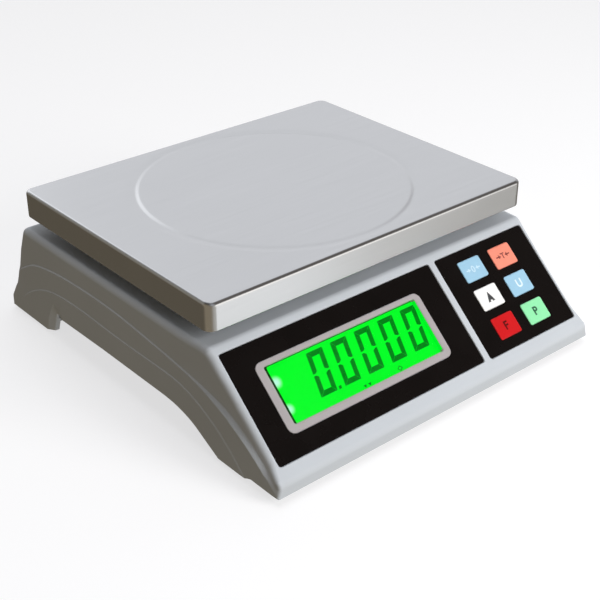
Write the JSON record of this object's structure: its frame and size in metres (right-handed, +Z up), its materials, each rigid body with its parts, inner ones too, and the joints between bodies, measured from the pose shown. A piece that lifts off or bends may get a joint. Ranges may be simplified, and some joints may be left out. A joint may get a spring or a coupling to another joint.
{
  "type": "bench weighing scale",
  "caption": "Table-top weighing scale: flat steel pan over a moulded housing whose sloped front console holds a backlit number display and push keys.",
  "frame": {"origin": "under the middle of the scale's footprint, on the surface its feet stand on", "axes": "+X to the user's right, +Y from the console to the back, +Z up"},
  "size_m": [0.31, 0.334, 0.113],
  "materials": {
    "housing": "fine satin moulded plastic",
    "base": "fine matt moulded plastic",
    "panel_film": "black printed polyester film, semi-gloss",
    "window_frame": "light grey satin",
    "window": "clear, glossy",
    "lcd": "liquid crystal cell, bright green",
    "backlight": "green light guide",
    "circuit_board": "green solder mask",
    "ribbon": "flat flexible ribbon",
    "aluminium": "milled",
    "cast_aluminium": "sand-blasted casting",
    "stainless": "brushed stainless steel",
    "zinc_steel": "bright zinc plating",
    "rubber": "matt black rubber",
    "dark_plastic": "black moulded plastic",
    "battery_case": "dark grey battery case",
    "cable": "black cable sheath",
    "vial_plastic": "white moulded cup",
    "vial_lens": "tinted liquid under a clear lens",
    "key_blue": "light blue key",
    "key_salmon": "salmon key",
    "key_white": "white key",
    "key_red": "dark red key",
    "key_green": "light green key"
  },
  "bodies": {
    "housing": {"upper_housing": "housing", "base_tray": "base", "display_overlay": "panel_film", "display_bezel": "window_frame", "display_window": "window", "lcd_glass": "lcd", "lcd_backlight": "backlight", "main_board": "circuit_board", "keypad_overlay": "panel_film", "keypad_board": "circuit_board", "keypad_ribbon": "ribbon", "load_cell": "aluminium", "load_cell_plate": "zinc_steel", "load_cell_spacer": "aluminium", "overload_stop_screw": "zinc_steel", "battery": "battery_case", "battery_strap": "zinc_steel", "power_switch_frame": "dark_plastic", "dc_socket": "dark_plastic", "level_vial_cup": "vial_plastic", "level_vial_lens": "vial_lens", "load_cell_cable": "cable", "battery_lead": "cable", "power_lead": "cable", "socket_lead": "cable", "cell_screw_lower_1": "zinc_steel", "cell_screw_lower_2": "zinc_steel", "housing_screw_1": "zinc_steel", "housing_screw_2": "zinc_steel", "housing_screw_3": "zinc_steel", "housing_screw_4": "zinc_steel", "housing_screw_5": "zinc_steel", "housing_screw_6": "zinc_steel"},
    "pan_support": {"pan_spider": "cast_aluminium", "pan_mount_column": "aluminium", "cell_screw_upper_1": "zinc_steel", "cell_screw_upper_2": "zinc_steel", "pan_cushion_fl": "rubber", "pan_cushion_fr": "rubber", "pan_cushion_rl": "rubber", "pan_cushion_rr": "rubber"},
    "pan": {"weighing_pan": "stainless"},
    "key_zero": {"key_zero": "key_blue"},
    "key_tare": {"key_tare": "key_salmon"},
    "key_up": {"key_up": "key_white"},
    "key_units": {"key_units": "key_blue"},
    "key_function": {"key_function": "key_red"},
    "key_print": {"key_print": "key_green"},
    "power_rocker": {"power_rocker": "dark_plastic"},
    "battery_door": {"battery_door": "base"},
    "foot_fl": {"foot_pad_fl": "rubber"},
    "foot_fl_thread": {"foot_screw_fl": "zinc_steel"},
    "foot_fr": {"foot_pad_fr": "rubber"},
    "foot_fr_thread": {"foot_screw_fr": "zinc_steel"},
    "foot_rl": {"foot_pad_rl": "rubber"},
    "foot_rl_thread": {"foot_screw_rl": "zinc_steel"},
    "foot_rr": {"foot_pad_rr": "rubber"},
    "foot_rr_thread": {"foot_screw_rr": "zinc_steel"}
  },
  "joints": [
    {"name": "load_cell_flex", "type": "slide", "parent": "housing", "child": "pan_support", "axis": [0, 0, -1], "range_m": [0, 0.00025], "stiffness_N_per_m": 60000, "springref_m": -0.0005, "deforming": ["load_cell"]},
    {"name": "pan_lift", "type": "slide", "parent": "pan_support", "child": "pan", "axis": [0, 0, 1], "range_m": [0, 0.06]},
    {"name": "key_zero_press", "type": "slide", "parent": "housing", "child": "key_zero", "axis": [0, 0.6652, -0.7466], "range_m": [0, 0.0005], "stiffness_N_per_m": 1500, "springref_m": -0.0004},
    {"name": "key_tare_press", "type": "slide", "parent": "housing", "child": "key_tare", "axis": [0, 0.6652, -0.7466], "range_m": [0, 0.0005], "stiffness_N_per_m": 1500, "springref_m": -0.0004},
    {"name": "key_up_press", "type": "slide", "parent": "housing", "child": "key_up", "axis": [0, 0.6652, -0.7466], "range_m": [0, 0.0005], "stiffness_N_per_m": 1500, "springref_m": -0.0004},
    {"name": "key_units_press", "type": "slide", "parent": "housing", "child": "key_units", "axis": [0, 0.6652, -0.7466], "range_m": [0, 0.0005], "stiffness_N_per_m": 1500, "springref_m": -0.0004},
    {"name": "key_function_press", "type": "slide", "parent": "housing", "child": "key_function", "axis": [0, 0.6652, -0.7466], "range_m": [0, 0.0005], "stiffness_N_per_m": 1500, "springref_m": -0.0004},
    {"name": "key_print_press", "type": "slide", "parent": "housing", "child": "key_print", "axis": [0, 0.6652, -0.7466], "range_m": [0, 0.0005], "stiffness_N_per_m": 1500, "springref_m": -0.0004},
    {"name": "power_rocker_tilt", "type": "hinge", "parent": "housing", "child": "power_rocker", "pos_m": [0.1476, 0.0755, 0.0535], "axis": [0, 0, 1], "range_deg": [0, 20]},
    {"name": "battery_door_swing", "type": "hinge", "parent": "housing", "child": "battery_door", "pos_m": [-0.108, -0.0225, 0.0255], "axis": [-1, 0, 0], "range_deg": [0, 95]},
    {"name": "foot_fl_height", "type": "slide", "parent": "housing", "child": "foot_fl", "axis": [0, 0, -1], "range_m": [0, 0.006]},
    {"name": "foot_fl_turn", "type": "hinge", "parent": "foot_fl", "child": "foot_fl_thread", "pos_m": [-0.122, -0.13, 0.0084], "axis": [0, 0, 1], "range_deg": [0, 1727]},
    {"name": "foot_fr_height", "type": "slide", "parent": "housing", "child": "foot_fr", "axis": [0, 0, -1], "range_m": [0, 0.006]},
    {"name": "foot_fr_turn", "type": "hinge", "parent": "foot_fr", "child": "foot_fr_thread", "pos_m": [0.122, -0.13, 0.0084], "axis": [0, 0, 1], "range_deg": [0, 1727]},
    {"name": "foot_rl_height", "type": "slide", "parent": "housing", "child": "foot_rl", "axis": [0, 0, -1], "range_m": [0, 0.006]},
    {"name": "foot_rl_turn", "type": "hinge", "parent": "foot_rl", "child": "foot_rl_thread", "pos_m": [-0.122, 0.132, 0.0084], "axis": [0, 0, 1], "range_deg": [0, 1727]},
    {"name": "foot_rr_height", "type": "slide", "parent": "housing", "child": "foot_rr", "axis": [0, 0, -1], "range_m": [0, 0.006]},
    {"name": "foot_rr_turn", "type": "hinge", "parent": "foot_rr", "child": "foot_rr_thread", "pos_m": [0.122, 0.132, 0.0084], "axis": [0, 0, 1], "range_deg": [0, 1727]}
  ],
  "couplings": [
    {"joint": "foot_fl_height", "follows": "foot_fl_turn", "m_per_rad": 0.00019894},
    {"joint": "foot_fr_height", "follows": "foot_fr_turn", "m_per_rad": 0.00019894},
    {"joint": "foot_rl_height", "follows": "foot_rl_turn", "m_per_rad": 0.00019894},
    {"joint": "foot_rr_height", "follows": "foot_rr_turn", "m_per_rad": 0.00019894}
  ]
}
